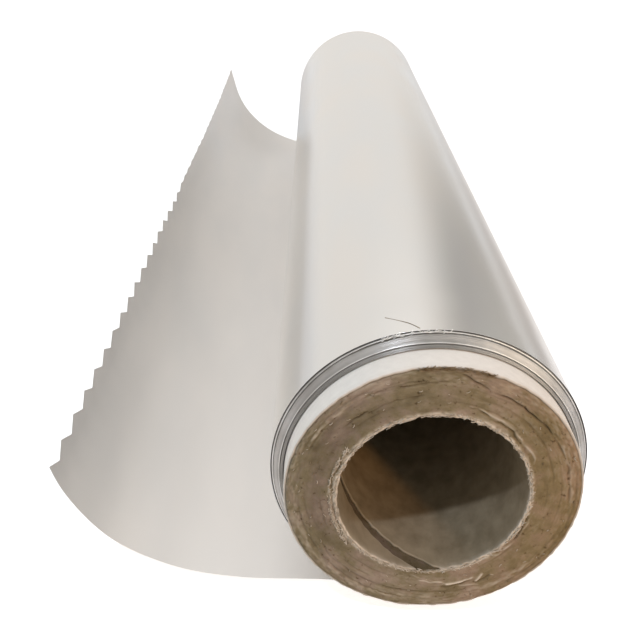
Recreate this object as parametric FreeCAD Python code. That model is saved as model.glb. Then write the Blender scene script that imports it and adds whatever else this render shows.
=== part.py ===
"""Aluminium foil roll: foil wound on a spiral-wound cardboard core, lying on its side.

Millimetres. The roll's axis runs along Y through the origin, which is the middle of the core's
bore. The near end, the one that faces the viewer, is at -Y. Up is +Z.
"""
import FreeCAD, Part
import math, os

# Foil
FOIL_WIDTH = 300.0            # along the axis
WOUND_DEPTH = 2.5             # from the core to the outermost turn
SHEET_THICK = 0.3             # solid sheet that stands for foil of about 0.016
STEP_SHARES = (0.14, 0.36, 0.57, 0.80)   # how deep in the ring of turns each group starts
TELESCOPE = 2.3               # how far the innermost turns stand out of the near end

# Loose end of the foil: a flat run on the surface, arcs that curl it up, a straight lip.
# Both edges of the foil turn through the same angles, so the sheet bends but doesn't stretch.
ROOT_FLAT = 10.0              # flat run under the roll, alike all along
HEADINGS_DEG = (25.0, 50.0, 75.0)   # slope at the end of each arc
NEAR_FLAT, NEAR_RADII, NEAR_LIP = 28.5, (45.0, 34.0, 30.0), 2.2
FAR_FLAT, FAR_RADII, FAR_LIP = 15.0, (55.0, 40.0, 32.0), 9.0

# Teeth that the cutter bar left on the free edge
TOOTH_PITCH = 8.0
TOOTH_DEPTH = 1.8
TOOTH_DEPTH_FAR = 0.5         # the far stretch was torn almost straight
TOOTH_FULL_RUN = 125.0        # length from the near corner with teeth of full depth
TOOTH_FADE_RUN = 30.0         # length over which they fade to the far depth
CUTTER_REACH = 4.0            # reach of the cutting block past the edge, in tooth depths
CUTTER_DEPTH = 20.0           # its depth through the sheet, in sheet thicknesses

# Core: from the bore outwards a liner strip, brown body plies and a white facing ply
CORE_STANDOUT = 7.6           # past the foil, at each end
BORE_DIA = 32.0
LINER_THICK = 0.4
BODY_THICK = 8.1
FACING_THICK = 0.5
LINER_PITCH = 65.0            # advance of the liner strip in one turn
LINER_GAP = 3.0               # open seam between its turns, along the axis
LINER_SEAM_DEG = 272.0        # where the seam meets the near face, from +X towards +Z
LINER_PATCH_TURN = 1.0 / 3.0  # part of a turn that one face of the strip spans
LINER_SPARE_TURNS = 3.0       # wound past the ends of the core, then trimmed off
SEWING = 1e-4                 # widest gap that is closed between faces of the strip

CORE_LENGTH = FOIL_WIDTH + 2.0 * CORE_STANDOUT
BORE_R = BORE_DIA / 2.0
LINER_R = BORE_R + LINER_THICK
BODY_R = LINER_R + BODY_THICK
FACING_R = BODY_R + FACING_THICK
ROLL_R = FACING_R + WOUND_DEPTH
NEAR_Y = -FOIL_WIDTH / 2.0
FAR_Y = FOIL_WIDTH / 2.0
CORE_NEAR_Y = -CORE_LENGTH / 2.0
AXIS = FreeCAD.Vector(0, 1, 0)


def tube(outer_r, inner_r, y_start, length):
    """Round tube about the Y axis."""
    base = FreeCAD.Vector(0, y_start, 0)
    return Part.makeCylinder(outer_r, length, base, AXIS).cut(
        Part.makeCylinder(inner_r, length, base, AXIS))


class Curl:
    """Section of the loose end at one edge of the foil, from the flat run to the free edge."""

    def __init__(self, y, flat, radii, lip):
        self.y = y
        self.radii = [None, *radii, None]
        self.stations = [((-ROOT_FLAT, -ROLL_R), 0.0), ((-flat, -ROLL_R), 0.0)]
        for radius, degrees in zip(radii, HEADINGS_DEG):
            place, heading = self.stations[-1]
            turned = math.radians(degrees)
            self.stations.append((self.arc_end(place, heading, turned, radius), turned))
        (x, z), heading = self.stations[-1]
        self.stations.append(((x - lip * math.cos(heading), z + lip * math.sin(heading)), heading))

    @staticmethod
    def arc_end(start, from_angle, to_angle, radius):
        """End of an arc that starts at a heading above -X and turns upwards to another."""
        return (start[0] - radius * (math.sin(to_angle) - math.sin(from_angle)),
                start[1] + radius * (math.cos(from_angle) - math.cos(to_angle)))

    def at(self, place, heading, lift):
        """Point in space, lifted off the under face along the sheet's own normal."""
        x, z = place
        return FreeCAD.Vector(x + lift * math.sin(heading), self.y, z + lift * math.cos(heading))

    def face_edges(self, lift):
        """Edges of the face at this lift, from under the roll out to the free edge."""
        edges = []
        for index, radius in enumerate(self.radii):
            (place, from_angle), (_, to_angle) = self.stations[index], self.stations[index + 1]
            start, end = self.at(place, from_angle, lift), self.at(*self.stations[index + 1], lift)
            if radius is None:
                edges.append(Part.makeLine(start, end))
            else:
                half = (from_angle + to_angle) / 2.0
                middle = self.at(self.arc_end(place, from_angle, half, radius), half, lift)
                edges.append(Part.Arc(start, middle, end).toShape())
        return edges

    def section(self):
        """Closed outline of the sheet at this edge of the foil."""
        caps = [Part.makeLine(self.at(*station, 0.0), self.at(*station, SHEET_THICK))
                for station in (self.stations[0], self.stations[-1])]
        return Part.Wire(self.face_edges(0.0) + [caps[1]] + self.face_edges(SHEET_THICK)[::-1] + [caps[0]])


def wound_turns():
    """Outermost turn and all inside it, with the root of the loose end leaving at the bottom."""
    join_x = -math.sqrt(ROLL_R ** 2 - (ROLL_R - SHEET_THICK) ** 2)
    top_z = SHEET_THICK - ROLL_R
    corners = [(0.0, -ROLL_R), (-ROOT_FLAT, -ROLL_R), (-ROOT_FLAT, top_z), (join_x, top_z)]
    bottom, low, high, join = [FreeCAD.Vector(x, NEAR_Y, z) for x, z in corners]
    edges = [Part.makeLine(bottom, low), Part.makeLine(low, high), Part.makeLine(high, join),
             Part.Arc(join, FreeCAD.Vector(0, NEAR_Y, ROLL_R), bottom).toShape()]
    return Part.Face(Part.Wire(edges)).extrude(AXIS * FOIL_WIDTH)


def tooth_depth(run):
    """Depth of the teeth at a distance from the near corner."""
    fade = min(max((run - TOOTH_FULL_RUN) / TOOTH_FADE_RUN, 0.0), 1.0)
    return TOOTH_DEPTH + (TOOTH_DEPTH_FAR - TOOTH_DEPTH) * fade


def teeth_cutter(near, far):
    """Everything past the zigzag line of the free edge, as one block."""
    near_tip, far_tip = near.at(*near.stations[-1], 0.0), far.at(*far.stations[-1], 0.0)
    along = far_tip - near_tip
    length = along.Length
    along.normalize()
    heading = near.stations[-1][1]
    normal = FreeCAD.Vector(math.sin(heading), 0, math.cos(heading))
    outward = along.cross(normal)
    outward.normalize()
    if outward.z < 0:
        outward = outward * -1.0
    normal = along.cross(outward)
    count = max(int(round(length / TOOTH_PITCH)), 1)
    pitch = length / count
    beyond = CUTTER_REACH * TOOTH_DEPTH
    points = [near_tip - along * pitch + outward * beyond, near_tip - along * pitch]
    for index in range(count):
        valley = (index + 0.5) * pitch
        points.append(near_tip + along * (index * pitch))
        points.append(near_tip + along * valley - outward * tooth_depth(valley))
    points += [far_tip, far_tip + along * pitch, far_tip + along * pitch + outward * beyond]
    block = Part.Face(Part.makePolygon(points + points[:1]))
    depth = CUTTER_DEPTH * SHEET_THICK
    block.translate(normal * (-depth / 2.0))
    return block.extrude(normal * depth)


def foil():
    """The wound turns and the loose end, one strip of foil."""
    near = Curl(NEAR_Y, NEAR_FLAT, NEAR_RADII, NEAR_LIP)
    far = Curl(FAR_Y, FAR_FLAT, FAR_RADII, FAR_LIP)
    solid = wound_turns().fuse(Part.makeLoft([near.section(), far.section()], True, True))
    solid = solid.cut(Part.makeCylinder(FACING_R, FOIL_WIDTH, FreeCAD.Vector(0, NEAR_Y, 0), AXIS))
    for step, share in enumerate(STEP_SHARES, 1):
        group_r = ROLL_R - share * WOUND_DEPTH
        shift = TELESCOPE * step / len(STEP_SHARES)
        before = TELESCOPE * (step - 1) / len(STEP_SHARES)
        solid = solid.fuse(tube(group_r, FACING_R, NEAR_Y - shift, shift - before))
        solid = solid.cut(tube(group_r, FACING_R, FAR_Y - shift, shift - before))
    return solid.cut(teeth_cutter(near, far)).removeSplitter()


def core_tube():
    """Brown body plies of the core."""
    return tube(BODY_R, LINER_R, CORE_NEAR_Y, CORE_LENGTH)


def core_facing():
    """White outer ply of the core."""
    return tube(FACING_R, BODY_R, CORE_NEAR_Y, CORE_LENGTH)


def seam_patch(cylinder, turn, span):
    """Stretch of the liner strip on a cylinder about Z, from one turn count to another, and its edges."""
    lift = LINER_GAP / 2.0
    top = LINER_PITCH - lift
    corners = [(turn, lift), (turn + span, lift), (turn + span, top), (turn, top)]
    flat = [FreeCAD.Base.Vector2d(2.0 * math.pi * t, LINER_PITCH * t + v) for t, v in corners]
    edges = [Part.Geom2d.Line2dSegment(flat[i], flat[(i + 1) % 4]).toShape(cylinder) for i in range(4)]
    return Part.Face(cylinder, Part.Wire(edges)), edges


def core_liner():
    """Innermost ply: one strip wound in a right-handed helix, with an open seam between its turns."""
    span = LINER_PATCH_TURN
    count = int((CORE_LENGTH / LINER_PITCH + LINER_SPARE_TURNS) / span)
    sides = []
    for radius in (BORE_R, LINER_R):
        cylinder = Part.Cylinder()
        cylinder.Radius = radius
        sides.append([seam_patch(cylinder, index * span, span) for index in range(count)])
    inner, outer = sides
    faces = [face for face, edges in inner + outer]
    for (_, inside), (_, outside) in zip(inner, outer):
        faces += [Part.makeRuledSurface(inside[i], outside[i], 1) for i in (0, 2)]
    faces.append(Part.makeRuledSurface(inner[0][1][3], outer[0][1][3], 1))
    faces.append(Part.makeRuledSurface(inner[-1][1][1], outer[-1][1][1], 1))
    shell = Part.makeShell(faces)
    shell.sewShape(SEWING)
    strip = Part.makeSolid(shell)
    strip.rotate(FreeCAD.Vector(0, 0, 0), FreeCAD.Vector(1, 0, 0), -90)
    strip.rotate(FreeCAD.Vector(0, 0, 0), AXIS, -LINER_SEAM_DEG)
    strip.translate(AXIS * (CORE_NEAR_Y - LINER_PITCH))
    return strip.common(Part.makeCylinder(FACING_R, CORE_LENGTH, FreeCAD.Vector(0, CORE_NEAR_Y, 0), AXIS))


def main():
    os.makedirs("parts", exist_ok=True)
    parts = {"foil": foil(), "core_tube": core_tube(), "core_facing": core_facing(),
             "core_liner": core_liner()}
    for name, shape in parts.items():
        shape = shape.Solids[0] if len(shape.Solids) == 1 else shape
        shape.exportStep("parts/%s.step" % name)
        print(name, "solids", len(shape.Solids), "valid", shape.isValid(), "volume", round(shape.Volume, 1))


main()
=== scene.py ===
"""Looks of an aluminium foil roll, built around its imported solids.

The roll lies on its side. Its axis is Y, the end that faces the viewer is at -Y, and up is +Z.
Sizes are in millimetres and are turned to metres where the meshes are made.
"""
import math

import bmesh
import bpy
import numpy as np
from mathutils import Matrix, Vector

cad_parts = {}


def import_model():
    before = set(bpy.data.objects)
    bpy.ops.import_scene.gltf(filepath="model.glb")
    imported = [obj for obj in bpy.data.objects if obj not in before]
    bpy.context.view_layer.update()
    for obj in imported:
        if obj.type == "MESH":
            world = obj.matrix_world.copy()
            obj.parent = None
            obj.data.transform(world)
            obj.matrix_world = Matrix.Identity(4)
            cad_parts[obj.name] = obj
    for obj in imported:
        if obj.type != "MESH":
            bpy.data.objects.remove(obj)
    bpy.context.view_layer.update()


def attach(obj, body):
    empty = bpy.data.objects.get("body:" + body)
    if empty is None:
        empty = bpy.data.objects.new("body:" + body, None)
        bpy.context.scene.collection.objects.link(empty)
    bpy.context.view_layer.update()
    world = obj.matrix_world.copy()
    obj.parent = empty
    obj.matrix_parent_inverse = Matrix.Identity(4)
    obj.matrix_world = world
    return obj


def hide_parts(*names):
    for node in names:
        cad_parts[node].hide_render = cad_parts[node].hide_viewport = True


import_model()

MM = 0.001

# Foil, with the sizes of the solids
FOIL_WIDTH = 300.0            # along the axis
ROLL_R = 27.5
FACING_R = 25.0
NEAR_Y = -FOIL_WIDTH / 2.0
FAR_Y = FOIL_WIDTH / 2.0
FOIL_THICK = 0.016            # usual thickness of household foil
TURN_DROP = 1.6               # outermost turn's start under its own end, in foil thicknesses
SKIN_GAP = 0.01               # from the solid's outer face to the outermost turn
DENTS = ((0.05, 17, 3), (0.02, 41, 6))   # depths of its soft dents, with their numbers round and along
DENT_SINK = 0.06              # how much further in the dented stretch lies
TELESCOPE = 2.3               # how far the innermost turns stand out of the near end
CREASE_DEG = 107.0            # place of a faint crease along the roll, from +X towards +Z
CREASE_HEIGHT = 0.05
CREASE_FADES_IN = (-131.0, -120.0)   # stretches of the roll where the crease starts and stops
CREASE_FADES_OUT = (-75.0, -58.0)
CORNER_COLUMN = 0.05          # distance from each end of the roll to the next column of points

# Edges of the wound turns, drawn as a spiral strip at each end of the roll
TURNS = 38.0                  # far fewer and thicker turns than the real ones, so that they show
TURNS_OUTER_GAP = 0.12        # from the outermost turn to this strip
TURNS_INNER_GAP = 0.08        # from this strip to the core
TURNS_DEPTH = 4.0             # of the strip, along the axis
TURNS_UNEVEN = 0.05           # how far single turns stray from their group

# Loose end: headings above -X at the end of each arc, then sizes at its near and far edge
HEADINGS_DEG = (25.0, 50.0, 75.0)
NEAR_FLAT, NEAR_RADII, NEAR_LIP = 28.5, (45.0, 34.0, 30.0), 2.2
FAR_FLAT, FAR_RADII, FAR_LIP = 15.0, (55.0, 40.0, 32.0), 9.0
TOOTH_PITCH = 7.95
TOOTH_DEPTH = 1.8
TOOTH_DEPTH_FAR = 0.35
TOOTH_FULL_RUN = 128.0
TOOTH_FADE_RUN = 26.0
TOOTH_STRAY = 0.12            # how far single tips and valleys stray
TOOTH_REACH = 14.0            # length behind the edge in which the sheet's rows follow the teeth
EDGE_BOW = 1.0                # the torn edge bows inwards in its far stretch
EDGE_STRAIGHT = 110.0         # length from the near corner without that bow
EDGE_LIFT = 1.4               # how far the near edge stands off the table

# Core
CORE_LENGTH = 315.2
BORE_R = 16.0
LINER_R = 16.4
BODY_R = 24.5
LINER_PITCH = 65.0
LINER_GAP = 3.0
LINER_SEAM_DEG = 272.0        # where the seam meets the near face, from +X towards +Z
FRAY_REACH = 0.35             # how far into the bore the liner's end is frayed
PALE_PATCH_REACH = 7.0              # how far in, and where round the bore, it is paler
PALE_PATCH_DEG = 200.0
FACING_SETBACK = 0.28         # from the ends of the core to the sawn edges of the white ply
WALL_SETBACK = 0.4            # from the ends of the core to the wall behind the liner
SEAM_SHADE_TONE = -0.5              # tone of that wall, painted shade where it shows in the open seam
PLY_RADII = (17.6, 18.9, 20.1, 21.4, 22.6, 23.6)   # where body plies part a little
PLY_LINE = 0.13               # half width of the line where two plies part
DEEPEST_MARK = 1.4            # how far splits may go into the sawn face
HIGHEST_MARK = 0.3            # how far torn plies may stand out of it
CORE_NEAR_Y = -CORE_LENGTH / 2.0
CORE_FAR_Y = CORE_LENGTH / 2.0
FLOOR_Z = -ROLL_R
FLOOR_HALF = 3000.0

# Points round the core, and from its bore to its white ply
CORE_COLUMNS = 540
CORE_RINGS = 62

# Numbers that steer the fixed random draws
SEED_SHEET = 11
SEED_TEETH = 23
SEED_ROLL = 31
SEED_CORE_NEAR = 41
SEED_CORE_FAR = 59
SEED_FACING = 67
SEED_LINER = 73
SEED_TURNS_NEAR = 83
SEED_TURNS_FAR = 89
SEED_FIBRES = 97

# Kinds of node that are used again and again, some with their settings
TIMES = ("ShaderNodeMath", {"operation": "MULTIPLY"})
TIMES_PLUS = ("ShaderNodeMath", {"operation": "MULTIPLY_ADD"})
PLUS = ("ShaderNodeMath", {"operation": "ADD"})
MINUS = ("ShaderNodeMath", {"operation": "SUBTRACT"})
MIXED = ("ShaderNodeMix", {"data_type": "RGBA"})
MULTIPLIED = ("ShaderNodeMix", {"data_type": "RGBA", "blend_type": "MULTIPLY"})
SPAN = "ShaderNodeMapRange"
SOFT_STEP = (SPAN, {"interpolation_type": "SMOOTHSTEP"})
RAMP = "ShaderNodeValToRGB"
NOISE = "ShaderNodeTexNoise"


def linear(hex_colour):
    """sRGB hex to a linear colour with full alpha."""
    channels = [int(hex_colour[i:i + 2], 16) / 255.0 for i in (0, 2, 4)]
    return (*[c / 12.92 if c <= 0.04045 else ((c + 0.055) / 1.055) ** 2.4 for c in channels], 1.0)


def feed(tree, node, **inputs):
    """Gives a node its inputs, by their names or by i and their numbers: values, other nodes' outputs,
    or whole nodes, which stand for their first output."""
    for name, value in inputs.items():
        key = int(name[1:]) if name[0] == "i" and name[1:].isdigit() else name.replace("_", " ")
        if isinstance(value, bpy.types.Node):
            value = value.outputs[0]
        if isinstance(value, bpy.types.NodeSocket):
            tree.links.new(value, node.inputs[key])
        else:
            node.inputs[key].default_value = value


def add(tree, kind, settings=None, stops=(), **inputs):
    """New node. Settings are its own properties, stops are places and sRGB hex colours of a colour
    ramp, inputs are as in feed."""
    node = tree.nodes.new(kind)
    for index, (place, colour) in enumerate(stops):
        points = node.color_ramp.elements
        point = points[index] if index < min(2, len(stops)) else points.new(place)
        point.position = place
        point.color = linear(colour)
    for name, value in (settings or {}).items():
        setattr(node, name, value)
    feed(tree, node, **inputs)
    return node


def material(name):
    """Empty material with a Principled surface: its tree and its shader."""
    made = bpy.data.materials.new(name)
    made.use_nodes = True
    tree = made.node_tree
    tree.nodes.clear()
    shader = add(tree, "ShaderNodeBsdfPrincipled")
    add(tree, "ShaderNodeOutputMaterial", Surface=shader)
    return made, tree, shader


def cloud(u, v, cells_u, cells_v, seed):
    """Smooth random field from -1 to 1 for u and v from 0 to 1. It closes on itself along u."""
    table = np.random.default_rng(seed).uniform(-1.0, 1.0, (cells_u, cells_v + 2))
    a, b = u * cells_u, v * cells_v
    i, j = np.floor(a).astype(int), np.floor(b).astype(int)
    s, t = a - i, b - j
    s, t = s * s * (3.0 - 2.0 * s), t * t * (3.0 - 2.0 * t)
    low = table[i % cells_u, j] * (1.0 - s) + table[(i + 1) % cells_u, j] * s
    high = table[i % cells_u, j + 1] * (1.0 - s) + table[(i + 1) % cells_u, j + 1] * s
    return low * (1.0 - t) + high * t


def smooth(value, start, end):
    """Smooth step from 0 at start to 1 at end."""
    t = np.clip((value - start) / (end - start), 0.0, 1.0)
    return t * t * (3.0 - 2.0 * t)


def placed(name, data):
    """New object in the scene."""
    made = bpy.data.objects.new(name, data)
    bpy.context.scene.collection.objects.link(made)
    return made


def shell(name, points, wrap_rows, wrap_columns, look, uv=None, tones=None):
    """Mesh object from a grid of points in millimetres, rows by columns, with quads between them."""
    rows, columns = points.shape[:2]
    last_row = rows if wrap_rows else rows - 1
    last_column = columns if wrap_columns else columns - 1
    i, j = np.meshgrid(np.arange(last_row), np.arange(last_column), indexing="ij")
    down, across = (i + 1) % rows, (j + 1) % columns
    quads = np.stack([i * columns + j, i * columns + across, down * columns + across, down * columns + j], -1)
    mesh = bpy.data.meshes.new(name)
    mesh.from_pydata((points.reshape(-1, 3) * MM).tolist(), [], quads.reshape(-1, 4).tolist())
    for attribute, values in (tones or {}).items():
        mesh.attributes.new(attribute, "FLOAT", "POINT").data.foreach_set(
            "value", values.astype(np.float32).ravel())
    if uv is not None:
        corners = np.zeros(len(mesh.loops), int)
        mesh.loops.foreach_get("vertex_index", corners)
        mesh.uv_layers.new(name="surface").data.foreach_set(
            "uv", uv.reshape(-1, 2)[corners].astype(np.float32).ravel())
    mesh.materials.append(look)
    mesh.polygons.foreach_set("use_smooth", [True] * len(mesh.polygons))
    return placed(name, mesh)


def close(piece, distance=1e-6):
    """Merges doubled points and turns every face outwards."""
    work = bmesh.new()
    work.from_mesh(piece.data)
    bmesh.ops.remove_doubles(work, verts=work.verts, dist=distance)
    bmesh.ops.recalc_face_normals(work, faces=work.faces)
    if work.calc_volume(signed=True) < 0.0:
        bmesh.ops.reverse_faces(work, faces=work.faces)
    work.to_mesh(piece.data)
    work.free()


def finish_piece(piece, slot, *nodes):
    """Rides on the roll's one body and stands for its nodes, which it hides. Its slot is not used."""
    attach(piece, "root")
    if nodes:
        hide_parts(*nodes)


# Camera, from the photograph's viewpoint
eye = bpy.data.cameras.new("camera")
eye.lens = 47.985
eye.sensor_width = 36.0
eye.shift_x = 0.01463
eye.shift_y = -0.00131
eye.clip_start = 0.01
camera = placed("camera", eye)
camera.location = (-20.608 * MM, -270.39 * MM, 91.224 * MM)
camera.rotation_euler = [math.radians(turn) for turn in (62.675, -0.671, 0.416)]
bpy.context.scene.camera = camera
bpy.context.scene.view_settings.view_transform = "Standard"


def lamp(name, toward, distance, size, power, colour):
    """Round lamp at a distance in metres along a direction, facing the roll."""
    light = bpy.data.lights.new(name, "AREA")
    light.shape = "DISK"
    light.size = size
    light.energy = power
    light.color = linear(colour)[:3]
    made = placed(name, light)
    made.location = Vector(toward).normalized() * distance
    made.rotation_euler = made.location.to_track_quat("Z", "Y").to_euler()
    return made


# The small cool lamp draws the sharp line of shadow in the bore. The warm one lights its left wall,
# and metal doesn't mirror it, because a lamp so near would show as an orange streak.
lamp("key_lamp", (-0.253, -0.5, 0.828), 1.6, 0.08, 7.8, "E8F0FF")
warm_lamp = lamp("warm_lamp", (0.506, -0.789, 0.349), 1.32, 0.14, 4.4, "FFC384")
warm_lamp.visible_glossy = False


def world():
    """White room. Matt surfaces take its even light. Metal sees it paler overhead, in grey bands low
    behind the roll, dim in front and on the left, and with a bright warm window on the right."""
    matt_strength, full_strength, window_gain = 0.60, 1.0, 2.6
    made = bpy.data.worlds.new("room")
    bpy.context.scene.world = made
    made.use_nodes = True
    made.cycles.sampling_method = "NONE"
    tree = made.node_tree
    tree.nodes.clear()
    direction = add(tree, "ShaderNodeTexCoord").outputs["Generated"]
    x, y, z = add(tree, "ShaderNodeSeparateXYZ", Vector=direction).outputs
    # The bands lean, as the ones that the roll mirrors do
    lean = add(tree, *TIMES_PLUS, i0=z, i1=0.35, i2=x)
    bands = add(tree, RAMP, Fac=lean, stops=[
        (0.24, "EAE6E1"), (0.30, "E0DBD5"), (0.35, "CDC8C2"), (0.40, "B9B4AE"), (0.45, "AFAAA5"),
        (0.55, "BDB8B1")])
    overhead = add(tree, RAMP, Fac=z, stops=[(0.36, "EAE6E1"), (0.60, "FFFBF6")])
    # From 0 to 1 across each of these spans of a direction
    low, right, front, rightward, before = [
        add(tree, *SOFT_STEP, Value=value, From_Min=start, From_Max=end)
        for value, start, end in ((z, 0.75, 0.45), (lean, 0.20, 0.26), (y, 0.20, -0.30), (x, 0.40, 0.66),
                                  (y, -0.12, -0.30))]
    grey, shade, window = [add(tree, *TIMES, i0=a, i1=b)
                           for a, b in ((right, low), (front, low), (rightward, before))]
    back = add(tree, *MIXED, i0=grey, i6=overhead, i7=bands).outputs[2]
    leftward = add(tree, SPAN, Value=x, From_Min=-0.20, From_Max=-0.62)
    dusk = add(tree, *MIXED, i0=leftward, i6=linear("AEACA9"), i7=linear("605E5C")).outputs[2]
    around = add(tree, *MIXED, i0=shade, i6=back, i7=dusk).outputs[2]
    room = add(tree, *MIXED, i0=window, i6=around, i7=linear("FFEBD2"))
    path = add(tree, "ShaderNodeLightPath").outputs
    lit = add(tree, *MIXED, i0=path["Is Glossy Ray"], i6=linear("F4F2EE"), i7=room.outputs[2])
    seen = add(tree, *MIXED, i0=path["Is Camera Ray"], i6=lit.outputs[2], i7=linear("FFFFFF"))
    shiny = add(tree, "ShaderNodeMath", {"operation": "MAXIMUM"},
                i0=path["Is Camera Ray"], i1=path["Is Glossy Ray"])
    strength = add(tree, SPAN, Value=shiny,
                   From_Min=0.0, From_Max=1.0, To_Min=matt_strength, To_Max=full_strength)
    bright = add(tree, *TIMES, i0=window, i1=path["Is Glossy Ray"])
    power = add(tree, *TIMES_PLUS, i0=bright, i1=window_gain, i2=strength)
    glow = add(tree, "ShaderNodeBackground", Color=seen.outputs[2], Strength=power)
    add(tree, "ShaderNodeOutputWorld", Surface=glow)


world()


def floor():
    """Pale table top, which looks white where it is lit and keeps the roll's soft shadow. Metal sees
    it brighter in front of the roll towards the right, and dimmer beyond the roll's near end."""
    camera_lift, mirror_lift, more_on_right, less_on_left, least_lift = 0.62, 0.27, 0.30, -0.27, 0.04
    look, tree, shader = material("matt_white_table")
    path = add(tree, "ShaderNodeLightPath").outputs
    spot = add(tree, "ShaderNodeSeparateXYZ", Vector=add(tree, "ShaderNodeTexCoord").outputs["Object"])
    # From 0 to 1 across each of these stretches of the table, in millimetres
    beside, left, far_right, far_left, past_end, near_by, far_by = [
        add(tree, *SOFT_STEP, Value=spot.outputs[axis], From_Min=start * MM, From_Max=end * MM)
        for axis, start, end in (("X", 50.0, 125.0), ("X", 60.0, -20.0), ("X", 180.0, 330.0),
                                 ("X", -40.0, -120.0), ("Y", -60.0, 60.0), ("Y", 420.0, 80.0),
                                 ("Y", 900.0, 250.0))]
    sides = add(tree, "ShaderNodeMath", {"operation": "MAXIMUM"}, i0=beside, i1=left)
    strip = add(tree, *TIMES, i0=sides, i1=past_end)
    beyond = add(tree, *TIMES, i0=strip, i1=far_by)
    in_front = add(tree, *MINUS, i0=1.0, i1=past_end)
    more = add(tree, *TIMES, i0=far_right, i1=more_on_right)
    less = add(tree, *TIMES_PLUS, i0=far_left, i1=less_on_left, i2=more)
    brighter = add(tree, *TIMES_PLUS, i0=less, i1=in_front, i2=mirror_lift)
    shine = add(tree, SPAN, Value=beyond, From_Min=0.0, From_Max=1.0, To_Min=brighter, To_Max=least_lift)
    mirrored = add(tree, *TIMES, i0=path["Is Glossy Ray"], i1=shine)
    dim = path["Is Glossy Ray"]
    for share in (beside, past_end, near_by):
        dim = add(tree, *TIMES, i0=dim, i1=share)
    colour = add(tree, *MIXED, i0=dim, i6=linear("EDEDED"), i7=linear("C4C0BC"))
    lift = add(tree, *TIMES_PLUS, i0=path["Is Camera Ray"], i1=camera_lift, i2=mirrored)
    feed(tree, shader, Roughness=0.9, Specular_IOR_Level=0.1, Base_Color=colour.outputs[2],
         Emission_Color=linear("FFFFFF"), Emission_Strength=lift)
    corners = np.array([[(-FLOOR_HALF, -FLOOR_HALF), (FLOOR_HALF, -FLOOR_HALF)],
                        [(-FLOOR_HALF, FLOOR_HALF), (FLOOR_HALF, FLOOR_HALF)]])
    points = np.concatenate([corners, np.full((2, 2, 1), FLOOR_Z)], -1)
    made = shell("table_top", points, False, False, look)


floor()


def foil_look(name, smooth_side, rough_side, smear, tints):
    """One side of household aluminium foil, cold rolled in a pair. The bright side, outwards on the
    roll, mirrors the room softly, smeared along the axis by the rolling lines. The matt side, on top
    of the loose end, only shows broad soft bands. Its UV map is in millimetres: round the roll, then
    along it."""
    look, tree, shader = material(name)
    surface = add(tree, "ShaderNodeUVMap", {"uv_map": "surface"})
    # Rolling lines 50 long and 0.45 apart. The real ones are closer, and are drawn this coarse to show
    lines = add(tree, "ShaderNodeMapping", Vector=surface, Scale=(0.02, 2.2, 1.0))
    grain = add(tree, NOISE, Vector=lines, Scale=1.0, Detail=3.0)
    # Patches of about 17 by 50 where the foil is a little duller
    soft = add(tree, "ShaderNodeMapping", Vector=surface, Scale=(0.06, 0.02, 1.0))
    patches = add(tree, NOISE, Vector=soft, Scale=1.0, Detail=2.0)
    tint = add(tree, RAMP, stops=[(0.35, tints[0]), (0.65, tints[1])], Fac=patches)
    rough = add(tree, SPAN, Value=patches,
                From_Min=0.3, From_Max=0.7, To_Min=smooth_side, To_Max=rough_side)
    tangent = add(tree, "ShaderNodeTangent", {"direction_type": "UV_MAP", "uv_map": "surface"})
    relief = add(tree, "ShaderNodeBump", Strength=0.05, Distance=0.02 * MM, Height=grain)
    feed(tree, shader, Base_Color=tint, Roughness=rough, Metallic=1.0, Anisotropic=smear,
         Tangent=tangent, Normal=relief)
    return look


def edge_look():
    """Slit edges of the same foil, seen end on: bright, with dark lines where groups of turns part.
    The colours go by the share of the way from the core to the outermost turn. They are painted
    bands: painted shade in the dark lines and darker bands, painted highlights in the pale ones."""
    look, tree, shader = material("slit_foil_edges")
    wander_by = 0.25 * MM
    place = add(tree, "ShaderNodeTexCoord").outputs["Object"]
    flat = add(tree, "ShaderNodeVectorMath", {"operation": "MULTIPLY"}, i0=place, i1=(1.0, 0.0, 1.0))
    radius = add(tree, "ShaderNodeVectorMath", {"operation": "LENGTH"}, i0=flat)
    # Every 11 mm or so, a line between groups wanders in or out
    drift = add(tree, NOISE, Vector=place, Scale=0.09 / MM, Detail=1.0)
    wander = add(tree, *TIMES_PLUS, i0=drift, i1=wander_by, i2=radius.outputs["Value"])
    share = add(tree, SPAN, Value=wander, From_Min=FACING_R * MM + wander_by / 2.0,
                From_Max=ROLL_R * MM + wander_by / 2.0)
    # Painted shade in the dark lines where groups of turns part and in the darker bands, painted highlights
    # in the pale bands
    groups = add(tree, RAMP, Fac=share, stops=[
        (0.0, "9C9A97"), (0.23, "B2B0AD"), (0.27, "969491"), (0.32, "9C9A97"), (0.345, "F4F3F1"),
        (0.385, "F0EFED"), (0.41, "C4C3C1"), (0.60, "D4D2D0"), (0.74, "CAC8C6"), (0.765, "84827E"),
        (0.80, "8A8885"), (0.815, "FAF9F7"), (0.875, "F6F5F3"), (0.90, "74726F")])
    # Dull patches of about 6 mm
    patches = add(tree, NOISE, Vector=place, Scale=0.16 / MM, Detail=2.0)
    dust = add(tree, RAMP, stops=[(0.3, "DEDDDA"), (0.6, "FFFFFF")], Fac=patches)
    tint = add(tree, *MULTIPLIED, i0=0.9, i6=groups, i7=dust)
    feed(tree, shader, Base_Color=tint.outputs[2], Metallic=1.0, Roughness=0.30)
    return look


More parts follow.
